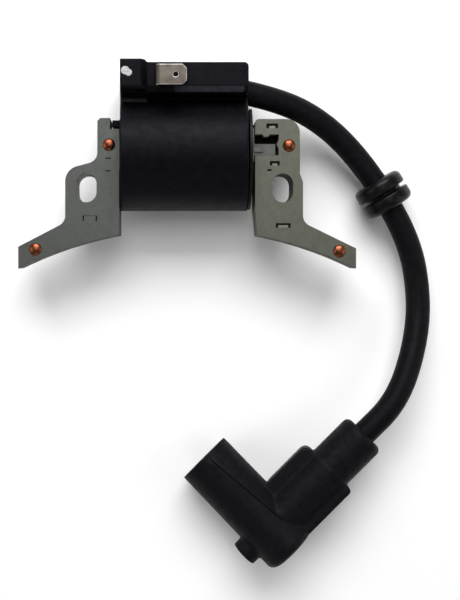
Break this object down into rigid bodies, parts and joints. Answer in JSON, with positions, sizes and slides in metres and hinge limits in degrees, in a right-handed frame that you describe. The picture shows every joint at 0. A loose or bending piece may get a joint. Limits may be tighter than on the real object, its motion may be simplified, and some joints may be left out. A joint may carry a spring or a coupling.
{
  "type": "ignition coil",
  "caption": "Flywheel ignition coil on a laminated steel core with slotted legs, its plug lead, shroud grommet and elbow spark plug cap.",
  "frame": {"origin": "midway between the two mounting slots, on the rear faces of the core legs", "axes": "+X from the left leg to the right leg, +Y from the feet at the flywheel to the terminal box, +Z out of the front of the core, away from the engine; the coil lies on its potted back"},
  "size_m": [0.1359, 0.1628, 0.04],
  "materials": {
    "core_steel": "stamped electrical steel",
    "rivet_copper": "copper-plated rivet",
    "case_plastic": "moulded glass-filled nylon",
    "potting": "poured epoxy",
    "bobbin_plastic": "moulded",
    "winding_copper": "enamelled copper wire",
    "tinned_metal": "tin-plated brass",
    "board": "solder-resist",
    "component_black": "moulded",
    "capacitor_body": "dipped",
    "contact_brass": "turned brass",
    "lead_rubber": "extruded",
    "grommet_rubber": "moulded, smooth",
    "cap_rubber": "moulded, matte",
    "spring_steel": "drawn wire"
  },
  "bodies": {
    "root": {"left_core_stack": "core_steel", "right_core_stack": "core_steel", "core_rivets": "rivet_copper", "coil_case": "case_plastic", "potting_compound": "potting", "primary_bobbin": "bobbin_plastic", "primary_winding": "winding_copper", "secondary_bobbin": "bobbin_plastic", "secondary_winding": "winding_copper", "ground_strap": "tinned_metal", "module_board": "board", "power_transistor": "component_black", "control_chip": "component_black", "charge_capacitor": "capacitor_body", "module_resistors": "component_black", "module_diodes": "component_black", "stop_terminal": "tinned_metal", "hv_contact": "contact_brass", "lead_insulation": "lead_rubber", "lead_conductor": "winding_copper"},
    "grommet": {"shroud_grommet": "grommet_rubber"},
    "cap": {"cap_boot": "cap_rubber", "cap_terminal": "contact_brass", "cap_socket_sleeve": "contact_brass", "cap_clip_ring": "spring_steel"}
  },
  "joints": [
    {"name": "grommet_slide", "type": "slide", "parent": "root", "child": "grommet", "axis": [0.5172, -0.8559, 0], "range_m": [-0.002, 0.006]},
    {"name": "cap_twist", "type": "hinge", "parent": "root", "child": "cap", "pos_m": [0.0594, -0.0802, 0.0024], "axis": [0.7071, 0.7071, 0], "range_deg": [-90, 90]}
  ]
}
